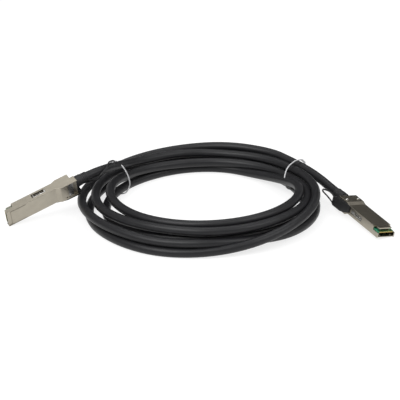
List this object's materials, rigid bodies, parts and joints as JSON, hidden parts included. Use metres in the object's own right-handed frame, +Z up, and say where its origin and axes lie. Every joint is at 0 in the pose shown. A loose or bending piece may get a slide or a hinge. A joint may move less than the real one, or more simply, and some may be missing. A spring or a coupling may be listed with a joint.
{
  "type": "direct attach copper cable",
  "caption": "Coiled twinaxial copper cable tied into a round coil, with a die-cast pluggable connector, sliding latch and looped pull tab at each end.",
  "frame": {"origin": "centre of the box round the two plugs and their pull tabs, on the floor", "axes": "+X from one plug across the coil to the other, +Z up from the floor, +Y away from the plugs' noses towards the back of the coil"},
  "size_m": [0.3516, 0.2271, 0.0411],
  "materials": {
    "die_cast_shell": "satin nickel over a zinc die casting",
    "board_laminate": "green solder mask",
    "gold_plating": "gold plated, smooth",
    "chip_black": "moulded package",
    "wire_insulation": "foil-wrapped twin pairs",
    "crimp_metal": "plain crimped sleeve",
    "boot_rubber": "black moulded",
    "spring_steel": "bright rolled",
    "rivet_metal": "bright turned",
    "tab_plastic": "black moulded, fine texture",
    "cable_jacket": "charcoal, soft sheen",
    "tie_coating": "pale grey coated wire"
  },
  "bodies": {
    "cable_and_plugs": {"bottom_shell_a": "die_cast_shell", "top_shell_a": "die_cast_shell", "circuit_board_a": "board_laminate", "contact_pads_a": "gold_plating", "memory_chip_a": "chip_black", "capacitors_a": "chip_black", "wire_pairs_a": "wire_insulation", "shield_ferrule_a": "crimp_metal", "strain_relief_a": "boot_rubber", "shell_rivets_a": "rivet_metal", "return_spring_left_a": "spring_steel", "return_spring_right_a": "spring_steel", "bottom_shell_b": "die_cast_shell", "top_shell_b": "die_cast_shell", "circuit_board_b": "board_laminate", "contact_pads_b": "gold_plating", "memory_chip_b": "chip_black", "capacitors_b": "chip_black", "wire_pairs_b": "wire_insulation", "shield_ferrule_b": "crimp_metal", "strain_relief_b": "boot_rubber", "shell_rivets_b": "rivet_metal", "return_spring_left_b": "spring_steel", "return_spring_right_b": "spring_steel", "cable_lead_a": "cable_jacket", "cable_lead_b": "cable_jacket", "cable_coil": "cable_jacket", "tie_left": "tie_coating", "tie_right": "tie_coating"},
    "release_a": {"latch_slider_a": "spring_steel", "pull_tab_a": "tab_plastic"},
    "release_b": {"latch_slider_b": "spring_steel", "pull_tab_b": "tab_plastic"}
  },
  "joints": [
    {"name": "release_a_slide", "type": "slide", "parent": "cable_and_plugs", "child": "release_a", "axis": [0.8461, 0.4537, 0.2798], "range_m": [0, 0.0035], "stiffness_N_per_m": 300, "springref_m": -0.003, "deforming": ["return_spring_left_a", "return_spring_right_a"]},
    {"name": "release_b_slide", "type": "slide", "parent": "cable_and_plugs", "child": "release_b", "axis": [-0.468, 0.8802, 0.0785], "range_m": [0, 0.0035], "stiffness_N_per_m": 300, "springref_m": -0.003, "deforming": ["return_spring_left_b", "return_spring_right_b"]}
  ]
}
